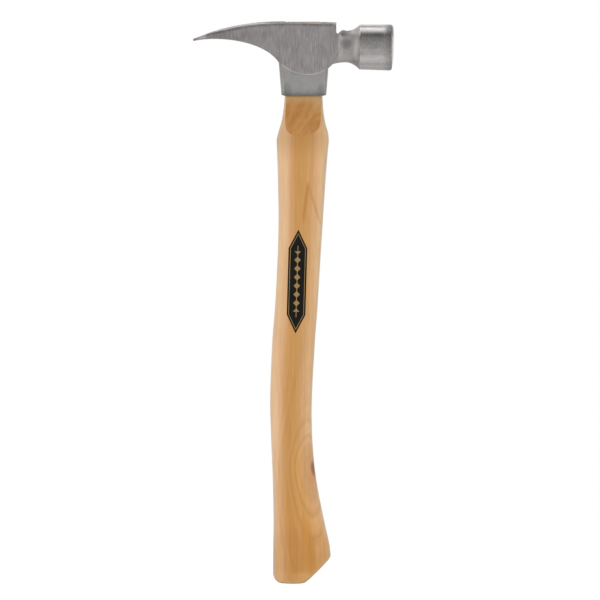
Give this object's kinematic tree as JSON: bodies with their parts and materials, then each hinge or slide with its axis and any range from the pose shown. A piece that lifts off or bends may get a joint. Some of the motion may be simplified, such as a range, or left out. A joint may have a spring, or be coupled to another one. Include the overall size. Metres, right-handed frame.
{
  "type": "claw hammer",
  "caption": "Claw hammer with a straight claw, round striking face and nail-starter notch on a solid alloy head, wedged on a curved wooden handle.",
  "frame": {"origin": "On the axis of the eye, in the plane of the socket's underside, where a tool rack carries the head.", "axes": "+X toward the striking face, -X toward the claw, +Y across the tool, +Z from the butt of the handle to the head."},
  "size_m": [0.163, 0.0374, 0.4561],
  "materials": {
    "head_alloy": "satin",
    "hickory": "satin",
    "wedge_wood": "matte",
    "wedge_steel": "satin",
    "magnet_plating": "satin"
  },
  "bodies": {
    "root": {"head": "head_alloy", "handle": "hickory", "wood_wedge": "wedge_wood", "steel_wedge_front": "wedge_steel", "steel_wedge_rear": "wedge_steel", "starter_magnet": "magnet_plating"}
  },
  "joints": []
}
